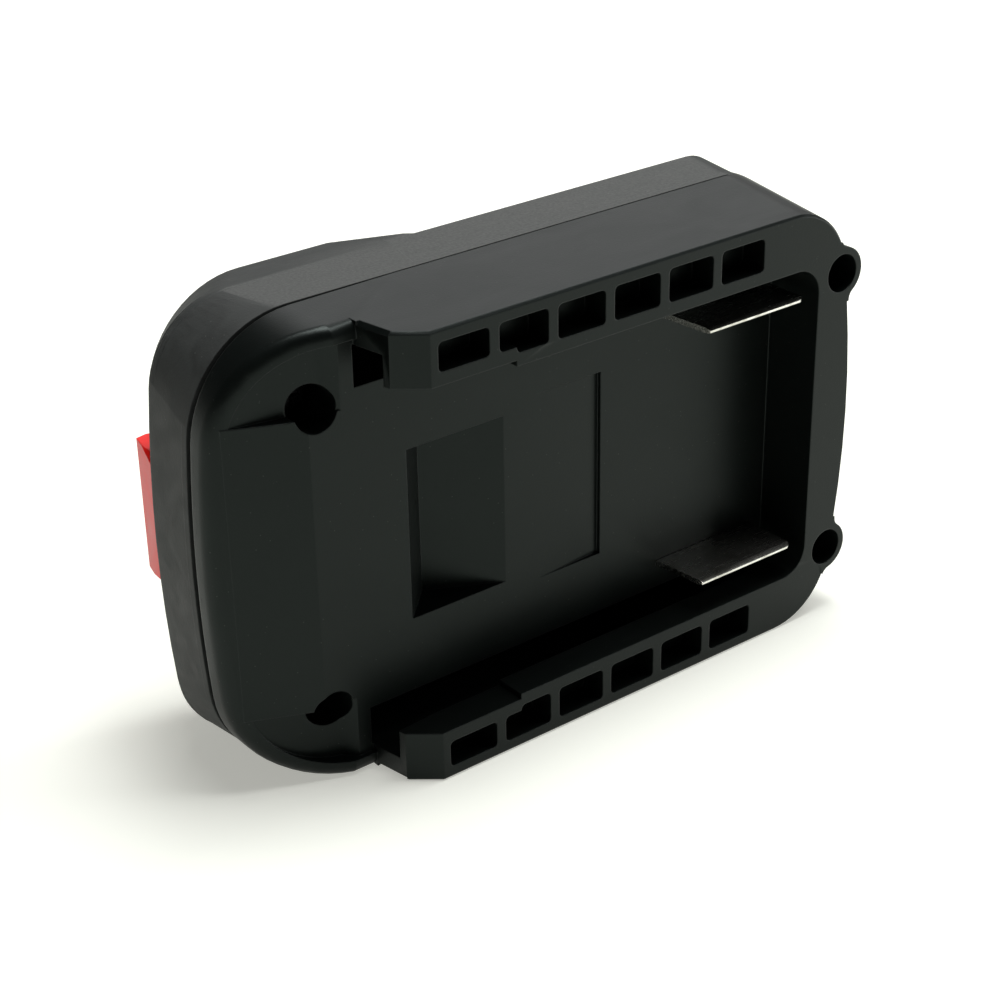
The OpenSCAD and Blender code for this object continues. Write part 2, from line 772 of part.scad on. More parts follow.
// Pan head screw with a cross recess, seated at y, its shank towards the back or the front
head_ratio = 0.7;
dome_ratio = 1.9;
cross_ratio = [1.2, 0.22];
small_shank_r = 1.05;
shank_r = 1.45;
module pan_screw(x, z, y, length, head_r, shank_r, to_back = true) {
    head_h = head_ratio * head_r;
    translate([x, y, z]) rotate([to_back ? -90 : 90, 0, 0]) difference() {
        union() {
            cylinder(h = length, r = shank_r);
            intersection() {
                translate([0, 0, -head_h]) cylinder(h = head_h, r = head_r);
                translate([0, 0, dome_ratio * head_r - head_h]) sphere(r = dome_ratio * head_r);
            }
        }
        for (a = [0, 90]) rotate([0, 0, a])
            translate([-cross_ratio[0] * head_r / 2, -cross_ratio[1] * head_r / 2, -head_h - past])
                cube([cross_ratio[0] * head_r, cross_ratio[1] * head_r, past + head_h / 2]);
    }
}

module blade_carrier_screws() {
    color(steel) place() both_sides()
        pan_screw(carrier_screw_x, carrier_screw_z, carrier_y, 4, 3.2, small_shank_r, false);
}

module contact_carrier_screws() {
    color(steel) place() for (x = contact_screw_x) pan_screw(x, 0, contact_under_y, 8, 2.4, small_shank_r);
}

module rail_block_screws() {
    color(steel) place() both_sides() for (x = block_screw_x)
        pan_screw(x, block_screw_z, deck_y, 8, 2.8, shank_r);
}

module shell_screws() {
    color(steel) place() both_sides() for (x = [screw_x, ear_x])
        pan_screw(x, screw_z, seat_y, 12, 3, shank_r);
}

// Tool contacts and their carrier

clip_x = [94, 109];
clip_t = 0.6;
clip_y = [36.8, 39.5, 43, 45];
clip_half = [1.6, 1.3, 0.35, 1.1];
clip_tail_x = [98, 103];
clip_tail_y = 29.6;
contact_base_y = clip_y[0];
contact_under_y = 33.8;
contact_x = [91.5, 110.4];
contact_half_z = 14.3;
contact_screw_x = [95.6, 106.4];
contact_hole_r = 1.3;

// Two leaves that close on the tool's blade and open to a mouth
module clip_profile() {
    inner = [for (i = [0:3]) [clip_y[i], clip_half[i]]];
    outer = [for (i = [3:-1:0]) [clip_y[i], clip_half[i] + clip_t]];
    polygon(concat(inner, outer));
    mirror([0, 1]) polygon(concat(inner, outer));
    translate([clip_y[0], -clip_half[0] - clip_t]) square([clip_t, 2 * (clip_half[0] + clip_t)]);
}

module contact_clip(side) {
    color(bronze) place() translate([0, 0, side * contact_z]) {
        along_x(clip_x[0], clip_x[1]) clip_profile();
        along_z(-clip_t / 2, clip_t / 2) translate([clip_tail_x[0], clip_tail_y])
            square([clip_tail_x[1] - clip_tail_x[0], clip_y[0] + clip_t - clip_tail_y]);
    }
}

module contact_carrier() {
    color(nylon) place() difference() {
        box([contact_x[0], contact_under_y, -contact_half_z], [contact_x[1], contact_base_y, contact_half_z]);
        both_sides() box([clip_tail_x[0] - slip, contact_under_y - past, contact_z - clip_t / 2 - slip],
            [clip_tail_x[1] + slip, contact_base_y + past, contact_z + clip_t / 2 + slip]);
        for (x = contact_screw_x) rod_y(x, 0, contact_under_y - past, contact_base_y + past, contact_hole_r);
    }
}

// Insulated leads from the blade tails to the contact tails

lead_r = 1.3;
lead_sides = 10;
lead_at_blade = blade_z - blade_t / 2 - lead_r - slip;
lead_at_clip = contact_z + clip_t / 2 + lead_r + slip;
lead_route = [[100, 19.2, lead_at_blade], [93, 19.2, lead_at_blade], [89, 19.5, lead_at_blade - 0.3],
    [85.6, 20.6, 20.6], [83.4, 22.6, 18.4], [83, 25, 15.8], [84.4, 27.4, 13.6], [87.2, 29.4, 12.2],
    [91, 30.5, lead_at_clip], [95, 30.7, lead_at_clip], [102, 30.7, lead_at_clip]];
function unit(v) = v / norm(v);
function heading(p, i) = unit(p[min(i + 1, len(p) - 1)] - p[max(i - 1, 0)]);
function lead_ring(p, i) = let (t = heading(p, i), u = unit(cross(t, [0, 0, 1])), v = cross(t, u))
    [for (k = [0:lead_sides - 1]) let (a = 360 * k / lead_sides)
        p[i] + lead_r * (u * cos(a) + v * sin(a))];

module lead(side) {
    color(side > 0 ? red : nylon) place() on_side(side)
        skin([for (i = [0:len(lead_route) - 1]) lead_ring(lead_route, i)]);
}

battery_side_shell();
tool_side_shell();
tool_rail_block();
rail_block_screws();
release_button();
latch_hook();
latch_spring(1);  // latch_spring_upper
latch_spring(-1);  // latch_spring_lower
blade(1);  // blade_upper
blade(-1);  // blade_lower
blade_carrier();
blade_carrier_screws();
contact_clip(1);  // contact_clip_upper
contact_clip(-1);  // contact_clip_lower
contact_carrier();
contact_carrier_screws();
lead(1);  // lead_upper
lead(-1);  // lead_lower
shell_screws();
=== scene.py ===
"""Looks, studio and camera for the tool battery adapter.

Everything is in metres, in the frame of the construction model.
"""

import logging
import math
from collections.abc import Iterable, Mapping, Sequence
from dataclasses import dataclass, field
from enum import Enum

import bmesh
import bpy
from mathutils import Matrix, Vector

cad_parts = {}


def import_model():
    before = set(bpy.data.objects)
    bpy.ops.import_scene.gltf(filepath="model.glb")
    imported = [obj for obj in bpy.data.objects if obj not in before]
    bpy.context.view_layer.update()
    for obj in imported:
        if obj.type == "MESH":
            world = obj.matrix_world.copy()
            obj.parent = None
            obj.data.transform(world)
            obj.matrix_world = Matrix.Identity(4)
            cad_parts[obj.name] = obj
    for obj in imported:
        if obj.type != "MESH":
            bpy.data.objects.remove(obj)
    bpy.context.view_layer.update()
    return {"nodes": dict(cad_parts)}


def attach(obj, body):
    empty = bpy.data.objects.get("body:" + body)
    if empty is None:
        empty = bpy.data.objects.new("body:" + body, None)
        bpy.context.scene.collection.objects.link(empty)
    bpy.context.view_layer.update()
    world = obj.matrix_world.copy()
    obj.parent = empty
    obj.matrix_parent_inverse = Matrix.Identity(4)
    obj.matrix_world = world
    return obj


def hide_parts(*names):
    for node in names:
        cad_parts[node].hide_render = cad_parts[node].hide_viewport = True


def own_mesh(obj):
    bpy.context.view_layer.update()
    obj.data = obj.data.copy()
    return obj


log = logging.getLogger("tool_battery_adapter")

MM = 0.001
# Height of the plane that the adapter is the same above and below
MIDDLE_Z_MM = 40.0

Colour = tuple[float, float, float, float]
Setting = float | int | str | bool | Sequence[float]


class Slot(Enum):
    """Material slots of the record, one for each real material."""

    SHELL = "shell_plastic"
    TOOL_SIDE = "tool_side_plastic"
    BUTTON = "button_plastic"
    LATCH = "latch_plastic"
    CARRIER = "carrier_plastic"
    BLADE = "blade_plate"
    CLIP = "clip_bronze"
    SCREW = "screw_steel"
    SPRING = "spring_steel"
    LEAD_RED = "lead_red"
    LEAD_BLACK = "lead_black"


class Body(Enum):
    """Bodies of the mechanism that carry pieces made here."""

    HOUSING = "housing"


class Side(Enum):
    """The two mirrored halves of the adapter."""

    UPPER = 1
    LOWER = -1


def linear(hex_colour: str) -> Colour:
    """Turns an sRGB hex colour into linear light.

    Args:
        hex_colour: six hex digits, such as "2b2d2d".

    Returns:
        Red, green, blue and alpha in linear light.
    """
    channels = [int(hex_colour[i : i + 2], 16) / 255 for i in (0, 2, 4)]
    red, green, blue = (c / 12.92 if c <= 0.04045 else ((c + 0.055) / 1.055) ** 2.4 for c in channels)
    return (red, green, blue, 1.0)


def per_metre(size_mm: float) -> float:
    """Pattern scale whose features measure size_mm."""
    return 1 / (size_mm * MM)


def mm(x: float, y: float, z: float) -> Vector:
    """A point given in millimetres of the frame."""
    return Vector((x, y, z)) * MM


@dataclass(frozen=True)
class NodeRow:
    """One line of a finish's table of nodes.

    Args:
        key: name of the node, used by later rows.
        kind: Blender's identifier for the kind of node.
        settings: values of inputs (by name or index) and of the node's own options.
        links: input (by name or index) to "key.Output" of an earlier row.
    """

    key: str
    kind: str
    settings: Mapping[str | int, Setting] = field(default_factory=dict)
    links: Mapping[str | int, str] = field(default_factory=dict)


def add_node(tree: bpy.types.NodeTree, row: NodeRow) -> bpy.types.Node:
    """Adds one node with its settings and links.

    Args:
        tree: the node tree of a material or of the world.
        row: what to add.

    Returns:
        The new node.
    """
    node = tree.nodes.new(row.kind)
    node.name = row.key
    for name, value in row.settings.items():
        if isinstance(name, str) and hasattr(node, name):
            setattr(node, name, value)
        else:
            node.inputs[name].default_value = value
    for name, source in row.links.items():
        key, _, output = source.partition(".")
        outputs = tree.nodes[key].outputs
        tree.links.new(outputs[int(output)] if output.isdigit() else outputs[output], node.inputs[name])
    return node


Span = tuple[float, float]


def noise(key: str, place: str, size_mm: float, settings: Mapping[str | int, Setting]) -> NodeRow:
    """Row for a noise pattern.

    Args:
        key: name of the node.
        place: "key.Output" of its coordinates.
        size_mm: size of its features.
        settings: its other inputs.

    Returns:
        The row.
    """
    return NodeRow(
        key, "ShaderNodeTexNoise", {"Scale": per_metre(size_mm), **settings}, {"Vector": place}
    )


def ramp(key: str, source: str, before: Span, after: Span) -> NodeRow:
    """Row that maps one span of values to another and holds the ends.

    Args:
        key: name of the node.
        source: "key.Output" of the value.
        before: span of the value.
        after: span of the result.

    Returns:
        The row.
    """
    spans = {"From Min": before[0], "From Max": before[1], "To Min": after[0], "To Max": after[1]}
    return NodeRow(key, "ShaderNodeMapRange", spans, {"Value": source})


def blend(key: str, share: str, under: Colour | str, over: Colour | str) -> NodeRow:
    """Row that mixes two colours, each fixed or the "key.Output" of an earlier row.

    Args:
        key: name of the node.
        share: "key.Output" of how much of the second colour shows.
        under: first colour.
        over: second colour.

    Returns:
        The row.
    """
    settings: dict[str | int, Setting] = {"data_type": "RGBA"}
    links: dict[str | int, str] = {0: share}
    for socket, colour in ((6, under), (7, over)):
        if isinstance(colour, str):
            links[socket] = colour
        else:
            settings[socket] = colour
    return NodeRow(key, "ShaderNodeMix", settings, links)


def pair(key: str, kind: str, operation: str, first: str, second: str) -> NodeRow:
    """Row that works on two earlier outputs.

    Args:
        key: name of the node.
        kind: Blender's identifier for the kind of node.
        operation: what it does with the two.
        first: "key.Output" of one.
        second: "key.Output" of the other.

    Returns:
        The row.
    """
    return NodeRow(key, kind, {"operation": operation}, {0: first, 1: second})


def above(key: str, source: str, limit: float) -> NodeRow:
    """Row that tests whether a value is above a limit.

    Args:
        key: name of the node.
        source: "key.Output" of the value.
        limit: the limit.

    Returns:
        The row.
    """
    return NodeRow(key, "FunctionNodeCompare", {"operation": "GREATER_THAN", 1: limit}, {0: source})


# Part of a noise pattern's range that nearly all of its values fall in
NOISE_SPAN: Span = (0.3, 0.7)
BEVEL_RAYS = 6

# Specks of dust: their spacing, where one ends and is whole (in spacings), and their colour
SPECK_SPACING_MM = 1.7
SPECK_EDGE: Span = (0.075, 0.035)
SPECK_TONE = linear("9a9a94")

# Fine dust and painted top light: how far up a face has to point to take them, and their colour
DUST_AND_TOP_LIGHT_FACING: Span = (0.988, 0.998)
DUST_AND_TOP_LIGHT_TONE = linear("8a8b88")

# How far an edge has to turn away from its face to be lightened, partly as wear and partly as a painted
# highlight, as a cosine
WORN_AND_HIGHLIT_FACING: Span = (0.99, 0.8)

# Noise at which a stain on metal begins and is whole, and how strong it gets
STAIN_EDGE: Span = (0.48, 0.7)
STAIN_MOST = 0.8


@dataclass(frozen=True)
class Finish:
    """A real material and the way its surface was made.

    Args:
        name: the material and how it was made.
    """

    name: str

    def rows(self) -> Iterable[NodeRow]:
        """The table of nodes, which ends in the output."""
        raise NotImplementedError

    def material(self) -> bpy.types.Material:
        """Builds the material once and gives the same one after that."""
        made = bpy.data.materials.get(self.name)
        if made:
            return made
        made = bpy.data.materials.new(self.name)
        made.use_nodes = True
        made.node_tree.nodes.clear()
        for row in self.rows():
            add_node(made.node_tree, row)
        return made


@dataclass(frozen=True)
class MouldedPlastic(Finish):
    """Injection moulded plastic: grain, melt flow, worn edges with a painted highlight, a little dust,
    and a pale top that is partly painted light.

    Args:
        tone: colour of the plastic.
        rubbed: colour of the edges, partly polished by handling and partly a painted highlight.
        roughness: least and most roughness, from the melt flow.
        grain_mm: size of the mould grain.
        grain_depth_mm: depth of the mould grain.
        flow_mm: size of the patches left by the melt.
        mottle: how far the patches' tone strays, 0 to 1.
        edge_mm: radius of the broken edges.
        rub: how far the edges are lightened, partly as wear and partly as a painted highlight, 0 to 1.
        dust: how much dust shows, 0 to 1.
        settled: how far faces that point up are lightened in the grain, partly as fine dust and partly
            as painted top light, 0 to 1.
        ior: index of refraction.
        sheen: strength of the surface reflection, 0.5 for a clear skin and less for a dull one.
        sheen_tone: colour of the surface reflection.
    """

    tone: Colour = (0.0, 0.0, 0.0, 1.0)
    rubbed: Colour = (0.0, 0.0, 0.0, 1.0)
    roughness: Span = (0.5, 0.6)
    grain_mm: float = 0.35
    grain_depth_mm: float = 0.02
    flow_mm: float = 9.0
    mottle: float = 0.22
    edge_mm: float = 0.3
    rub: float = 0.5
    dust: float = 0.3
    settled: float = 0.0
    ior: float = 1.52
    sheen: float = 0.5
    sheen_tone: Colour = (1.0, 1.0, 1.0, 1.0)

    def rows(self) -> Iterable[NodeRow]:
        """The table of nodes, which ends in the output."""
        darker = (*((1.0 - self.mottle) * c for c in self.tone[:3]), 1.0)
        lighter = (*((1.0 + self.mottle) * c for c in self.tone[:3]), 1.0)
        return (
            NodeRow("place", "ShaderNodeTexCoord"),
            NodeRow("surface", "ShaderNodeNewGeometry"),
            NodeRow(
                "broken_edge", "ShaderNodeBevel", {"samples": BEVEL_RAYS, "Radius": self.edge_mm * MM}
            ),
            noise("grain", "place.Object", self.grain_mm, {"Detail": 2.0, "Roughness": 0.6}),
            NodeRow(
                "flow_stretch",
                "ShaderNodeMapping",
                {"Scale": (0.5, 1.0, 1.0)},
                {"Vector": "place.Object"},
            ),
            noise(
                "flow",
                "flow_stretch.Vector",
                self.flow_mm,
                {"Detail": 4.0, "Roughness": 0.55, "Distortion": 0.7},
            ),
            NodeRow(
                "dust_field",
                "ShaderNodeTexVoronoi",
                {"Scale": per_metre(SPECK_SPACING_MM), "Randomness": 1.0},
                {"Vector": "place.Object"},
            ),
            ramp("dust_specks", "dust_field.Distance", SPECK_EDGE, (0.0, self.dust)),
            pair(
                "edge_facing",
                "ShaderNodeVectorMath",
                "DOT_PRODUCT",
                "broken_edge.Normal",
                "surface.Normal",
            ),
            # Edges turn towards a paler tone: partly wear from handling, partly a painted highlight
            ramp("edge_rub", "edge_facing.Value", WORN_AND_HIGHLIT_FACING, (0.0, self.rub)),
            pair("rub_breaks", "ShaderNodeMath", "MULTIPLY", "edge_rub.Result", "flow.Fac"),
            blend("melt_tone", "flow.Fac", darker, lighter),
            blend("rubbed_tone", "rub_breaks.Value", "melt_tone.2", self.rubbed),
            blend("dusted_tone", "dust_specks.Result", "rubbed_tone.2", SPECK_TONE),
            # Faces that point up take a pale tone in the grain: partly fine dust, partly painted light
            # on the top
            NodeRow("upward", "ShaderNodeSeparateXYZ", {}, {"Vector": "surface.Normal"}),
            ramp("level", "upward.Z", DUST_AND_TOP_LIGHT_FACING, (0.0, self.settled)),
            pair("in_grain", "ShaderNodeMath", "MULTIPLY", "level.Result", "grain.Fac"),
            blend("settled_tone", "in_grain.Value", "dusted_tone.2", DUST_AND_TOP_LIGHT_TONE),
            ramp("flow_gloss", "flow.Fac", NOISE_SPAN, self.roughness),
            NodeRow(
                "relief",
                "ShaderNodeBump",
                {"Strength": 0.6, "Distance": self.grain_depth_mm * MM},
                {"Height": "grain.Fac", "Normal": "broken_edge.Normal"},
            ),
            NodeRow(
                "plastic",
                "ShaderNodeBsdfPrincipled",
                {"IOR": self.ior, "Specular IOR Level": self.sheen, "Specular Tint": self.sheen_tone},
                {
                    "Base Color": "settled_tone.2",
                    "Roughness": "flow_gloss.Result",
                    "Normal": "relief.Normal",
                },
            ),
            NodeRow("output", "ShaderNodeOutputMaterial", {}, {"Surface": "plastic.BSDF"}),
        )


@dataclass(frozen=True)
class WorkedMetal(Finish):
    """Rolled, drawn or headed metal: lines along the working direction, scratches and dull patches.

    Args:
        tone: colour of the clean metal.
        dulled: colour of stained metal.
        roughness: least and most roughness.
        line_mm: spacing of the working lines.
        line_along: how much the lines are drawn out along x, y and z.
        line_depth_mm: depth of the working lines.
        stain_mm: size of the dull patches.
        edge_mm: radius of the broken edges.
    """

    tone: Colour = (0.8, 0.8, 0.8, 1.0)
    dulled: Colour = (0.5, 0.5, 0.5, 1.0)
    roughness: Span = (0.2, 0.4)
    line_mm: float = 0.25
    line_along: tuple[float, float, float] = (0.04, 1.0, 1.0)
    line_depth_mm: float = 0.01
    stain_mm: float = 4.0
    edge_mm: float = 0.12

    def rows(self) -> Iterable[NodeRow]:
        """The table of nodes, which ends in the output."""
        return (
            NodeRow("place", "ShaderNodeTexCoord"),
            NodeRow(
                "broken_edge", "ShaderNodeBevel", {"samples": BEVEL_RAYS, "Radius": self.edge_mm * MM}
            ),
            NodeRow(
                "drawn_out", "ShaderNodeMapping", {"Scale": self.line_along}, {"Vector": "place.Object"}
            ),
            noise("lines", "drawn_out.Vector", self.line_mm, {"Detail": 3.0, "Roughness": 0.6}),
            noise(
                "stain",
                "place.Object",
                self.stain_mm,
                {"Detail": 6.0, "Roughness": 0.65, "Distortion": 0.4},
            ),
            ramp("stain_edge", "stain.Fac", STAIN_EDGE, (0.0, STAIN_MOST)),
            blend("stained_tone", "stain_edge.Result", self.tone, self.dulled),
            ramp("line_gloss", "lines.Fac", NOISE_SPAN, self.roughness),
            NodeRow(
                "relief",
                "ShaderNodeBump",
                {"Strength": 0.35, "Distance": self.line_depth_mm * MM},
                {"Height": "lines.Fac", "Normal": "broken_edge.Normal"},
            ),
            NodeRow(
                "metal",
                "ShaderNodeBsdfPrincipled",
                {"Metallic": 1.0},
                {
                    "Base Color": "stained_tone.2",
                    "Roughness": "line_gloss.Result",
                    "Normal": "relief.Normal",
                },
            ),
            NodeRow("output", "ShaderNodeOutputMaterial", {}, {"Surface": "metal.BSDF"}),
        )


# Rays that look at the studio itself, straight on or in a reflection
SEEN_RAYS = (
    NodeRow("rays", "ShaderNodeLightPath"),
    pair("seen_direct", "ShaderNodeMath", "MAXIMUM", "rays.Is Camera Ray", "rays.Is Glossy Ray"),
    pair("seen", "ShaderNodeMath", "MAXIMUM", "seen_direct.Value", "rays.Is Transmission Ray"),
)


@dataclass(frozen=True)
class StudioPaper(Finish):
    """Seamless white paper: matt, with a faint fibre, and shown white where no shadow falls.

    Args:
        tone: colour of the paper.
        fibre_mm: size of the fibre pattern, drawn coarser than paper's own so that it shows.
        fibre_shade: tone between the fibres, as a share of the paper's.
        lift: light added where the paper is looked at, so that unshaded paper reads as white.
        far_lift: the same light where the paper runs out of the lamps' reach.
        lamp_reach: where the lamps begin to fall short and where they give nothing, in metres.
        lift_tone: colour of that light.
    """

    tone: Colour = (0.8, 0.8, 0.8, 1.0)
    fibre_mm: float = 0.6
    fibre_shade: float = 0.97
    lift: float = 0.2
    far_lift: float = 0.95
    lamp_reach: Span = (0.55, 1.4)
    lift_tone: Colour = (1.0, 1.0, 1.0, 1.0)

    def rows(self) -> Iterable[NodeRow]:
        """The table of nodes, which ends in the output."""
        shade = (*(self.fibre_shade * c for c in self.tone[:3]), 1.0)
        return (
            NodeRow("place", "ShaderNodeTexCoord"),
            noise("fibre", "place.Object", self.fibre_mm, {"Detail": 3.0}),
            blend("fibre_tone", "fibre.Fac", shade, self.tone),
            NodeRow("paper", "ShaderNodeBsdfDiffuse", {"Roughness": 0.9}, {"Color": "fibre_tone.2"}),
            *SEEN_RAYS,
            NodeRow("from_part", "ShaderNodeVectorMath", {"operation": "LENGTH"}, {0: "place.Object"}),
            ramp("lift", "from_part.Value", self.lamp_reach, (self.lift, self.far_lift)),
            pair("seen_lift", "ShaderNodeMath", "MULTIPLY", "seen.Value", "lift.Result"),
            NodeRow(
                "white",
                "ShaderNodeEmission",
                {"Color": self.lift_tone},
                {"Strength": "seen_lift.Value"},
            ),
            NodeRow("lifted", "ShaderNodeAddShader", {}, {0: "paper.BSDF", 1: "white.Emission"}),
            NodeRow("output", "ShaderNodeOutputMaterial", {}, {"Surface": "lifted.Shader"}),
        )


# Spark-eroded grain is about 0.08 mm, and the lines of rolling and drawing a few hundredths of a
# millimetre; they are drawn at 0.2 to 0.6 mm so that they show at this distance
FINISHES: dict[Slot, Finish] = {
    # Glass-filled nylon: nearly black and matt, with a grain that breaks the highlights up
    Slot.SHELL: MouldedPlastic(
        "glass-filled nylon, moulded with a spark-eroded grain",
        tone=linear("080b0a"),
        rubbed=linear("3c3e3e"),
        roughness=(0.345, 0.395),
        grain_mm=0.34,
        grain_depth_mm=0.028,
        rub=0.7,
        dust=0.1,
        sheen=0.17,
        sheen_tone=linear("eefff9"),
    ),
    # Coarser mould face: paler and duller; faces that point up are lightened in the grain, partly fine
    # dust and partly painted top light
    Slot.TOOL_SIDE: MouldedPlastic(
        "nylon, moulded with a coarse spark-eroded grain",
        tone=linear("323433"),
        rubbed=linear("5c5e5e"),
        roughness=(0.56, 0.7),
        grain_mm=0.5,
        grain_depth_mm=0.06,
        flow_mm=4.0,
        mottle=0.5,
        rub=0.7,
        dust=0.15,
        settled=0.28,
        sheen=0.22,
    ),
    # Polished mould face: clear red with a soft, even gloss
    Slot.BUTTON: MouldedPlastic(
        "red ABS, moulded in a satin polished tool",
        tone=linear("f21c17"),
        rubbed=linear("f07068"),
        roughness=(0.32, 0.42),
        grain_mm=0.4,
        grain_depth_mm=0.008,
        rub=0.6,
        dust=0.1,
        sheen=0.16,
    ),
    # Acetal: waxy, smoother than nylon
    Slot.LATCH: MouldedPlastic(
        "acetal, moulded in a smooth tool",
        tone=linear("3a3c3e"),
        rubbed=linear("5c5f61"),
        roughness=(0.3, 0.38),
        grain_mm=0.5,
        grain_depth_mm=0.006,
        ior=1.48,
        dust=0.1,
    ),
    # Unfilled nylon: flat grey, no grain to speak of
    Slot.CARRIER: MouldedPlastic(
        "nylon, moulded in a plain milled tool",
        tone=linear("434548"),
        rubbed=linear("626466"),
        roughness=(0.44, 0.55),
        grain_mm=0.6,
        grain_depth_mm=0.01,
        ior=1.53,
        dust=0.1,
    ),
    # Tin over brass: bright where stamping burnished it, cloudy on the rolled faces
    Slot.BLADE: WorkedMetal(
        "brass strip, rolled, tinned and stamped",
        tone=linear("e4e3dc"),
        dulled=linear("a9a79d"),
        roughness=(0.24, 0.28),
        line_mm=0.3,
        line_along=(0.05, 1.0, 1.0),
        line_depth_mm=0.0005,
        stain_mm=3.0,
        edge_mm=0.04,
    ),
    # Bronze strip: warm, with rolling lines along the leaf
    Slot.CLIP: WorkedMetal(
        "phosphor bronze strip, rolled and bent",
        tone=linear("c79a5e"),
        dulled=linear("8c6236"),
        roughness=(0.22, 0.36),
        line_mm=0.25,
        stain_mm=3.0,
    ),
    # Black zinc: dark, slightly brassy, dull in the recess
    Slot.SCREW: WorkedMetal(
        "steel, cold headed and black zinc plated",
        tone=linear("3c3c3e"),
        dulled=linear("242426"),
        roughness=(0.32, 0.48),
        line_mm=0.3,
        line_along=(1.0, 0.2, 1.0),
        stain_mm=1.5,
    ),
    # Music wire: drawn bright, with lines along the wire
    Slot.SPRING: WorkedMetal(
        "music wire, drawn and coiled",
        tone=linear("b4b5b7"),
        dulled=linear("7f8082"),
        roughness=(0.24, 0.36),
        line_mm=0.2,
        line_along=(1.0, 0.5, 1.0),
        stain_mm=2.0,
    ),
    # Silicone: soft, even and a little waxy, the same for both leads
    Slot.LEAD_RED: MouldedPlastic(
        "red silicone, extruded over stranded wire",
        tone=linear("b5201c"),
        rubbed=linear("c94a44"),
        roughness=(0.5, 0.62),
        grain_mm=0.5,
        grain_depth_mm=0.01,
        flow_mm=4.0,
        ior=1.43,
        dust=0.2,
    ),
    Slot.LEAD_BLACK: MouldedPlastic(
        "black silicone, extruded over stranded wire",
        tone=linear("1c1c1d"),
        rubbed=linear("3a3a3b"),
        roughness=(0.5, 0.62),
        grain_mm=0.5,
        grain_depth_mm=0.01,
        flow_mm=4.0,
        ior=1.43,
        dust=0.2,
    ),
}


@dataclass(frozen=True)
class EdgeBreak:
    """Softened edges, as a mould or a tumbler leaves them, put on with modifiers.

    Args:
        width_mm: width of the softened edge.
        segments: steps across it.
        sharp_deg: edges that turn less than this are left and shaded smooth.
        crease_deg: turn from which a long straight edge is a crease and not a facet of a curve.
        crease_mm: length from which an edge counts as long.
        weld_mm: points closer than this are one.
    """

    width_mm: float = 0.25
    segments: int = 2
    sharp_deg: float = 32.0
    crease_deg: float = 20.0
    crease_mm: float = 20.0
    weld_mm: float = 0.002

    def smoothing(self) -> bpy.types.NodeTree:
        """Node group that shades all but the sharp edges smooth."""
        name = f"smooth below {self.sharp_deg:g} degrees"
        made = bpy.data.node_groups.get(name)
        if made:
            return made
        made = bpy.data.node_groups.new(name, "GeometryNodeTree")
        made.interface.new_socket("Geometry", in_out="INPUT", socket_type="NodeSocketGeometry")
        made.interface.new_socket("Geometry", in_out="OUTPUT", socket_type="NodeSocketGeometry")
        for row in (
            NodeRow("given", "NodeGroupInput"),
            NodeRow(
                "plain",
                "GeometryNodeRemoveAttribute",
                {"Name": "custom_normal"},
                {"Geometry": "given.Geometry"},
            ),
            NodeRow("turn", "GeometryNodeInputMeshEdgeAngle"),
            above("sharp", "turn.Unsigned Angle", math.radians(self.sharp_deg)),
            above("creased", "turn.Unsigned Angle", math.radians(self.crease_deg)),
            NodeRow("ends", "GeometryNodeInputMeshEdgeVertices"),
            pair("length", "ShaderNodeVectorMath", "DISTANCE", "ends.Position 1", "ends.Position 2"),
            above("long", "length.Value", self.crease_mm * MM),
            pair("crease", "FunctionNodeBooleanMath", "AND", "creased.Result", "long.Result"),
            pair("kept", "FunctionNodeBooleanMath", "OR", "sharp.Result", "crease.Boolean"),
            NodeRow(
                "faces",
                "GeometryNodeSetShadeSmooth",
                {"domain": "FACE", "Shade Smooth": True},
                {"Geometry": "plain.Geometry"},
            ),
            NodeRow(
                "edges",
                "GeometryNodeSetShadeSmooth",
                {"domain": "EDGE", "Shade Smooth": False},
                {"Geometry": "faces.Geometry", "Selection": "kept.Boolean"},
            ),
            NodeRow("result", "NodeGroupOutput", {}, {"Geometry": "edges.Geometry"}),
        ):
            add_node(made, row)
        return made

    def put_on(self, piece: bpy.types.Object) -> None:
        """Adds the modifiers to a piece.

        Args:
            piece: a mesh of the construction model or one made here.
        """
        weld = piece.modifiers.new("joined seams", "WELD")
        weld.merge_threshold = self.weld_mm * MM
        if self.width_mm > 0:
            bevel = piece.modifiers.new("broken edges", "BEVEL")
            bevel.width = self.width_mm * MM
            bevel.segments = self.segments
            bevel.limit_method = "ANGLE"
            bevel.angle_limit = math.radians(self.sharp_deg)
            bevel.use_clamp_overlap = True
            bevel.miter_outer = "MITER_ARC"
        smooth = piece.modifiers.new("smooth faces", "NODES")
        smooth.node_group = self.smoothing()
        weighted = piece.modifiers.new("flat faces stay flat", "WEIGHTED_NORMAL")
        weighted.keep_sharp = True


Points = list[bmesh.types.BMVert]


